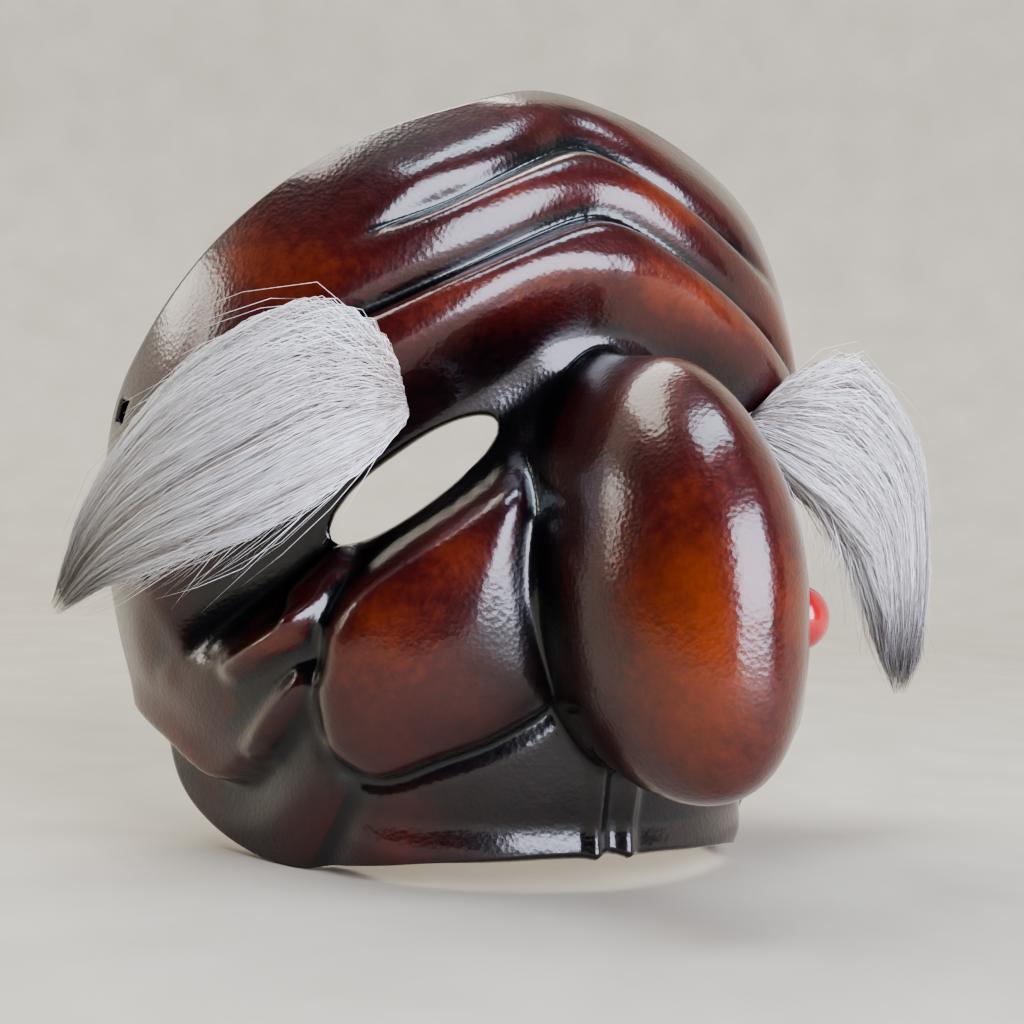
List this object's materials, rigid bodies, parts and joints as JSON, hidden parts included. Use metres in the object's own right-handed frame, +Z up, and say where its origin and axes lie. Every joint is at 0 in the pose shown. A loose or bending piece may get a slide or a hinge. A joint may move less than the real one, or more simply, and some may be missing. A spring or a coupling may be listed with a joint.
{
  "type": "theatre half mask",
  "caption": "Grotesque half mask of formed leather with a long hanging nose, folded forehead, fur eyebrows and a red wart on one cheek.",
  "frame": {"origin": "midway between the two strap holes at the temples, at the outer surface's height and depth there", "axes": "+Z up, -Y the way the face looks, +X the wearer's left"},
  "size_m": [0.2025, 0.1513, 0.1762],
  "materials": {
    "formed_leather": "polished, dark brown with red-brown high spots",
    "rim_wire": "bare soft wire",
    "hem_leather": "matt thin leather",
    "hide": "raw skin side",
    "fur": "pale grey fur with dark tips",
    "wart": "high gloss red",
    "foam": "soft matt foam"
  },
  "bodies": {
    "root": {"mask_shell": "formed_leather", "rim_wire": "rim_wire", "rim_hem": "hem_leather", "brow_hide_right": "hide", "brow_hide_left": "hide", "brow_fur_right": "fur", "brow_fur_left": "fur", "cheek_wart": "wart", "forehead_pad": "foam", "cheek_pad_right": "foam", "cheek_pad_left": "foam"}
  },
  "joints": []
}
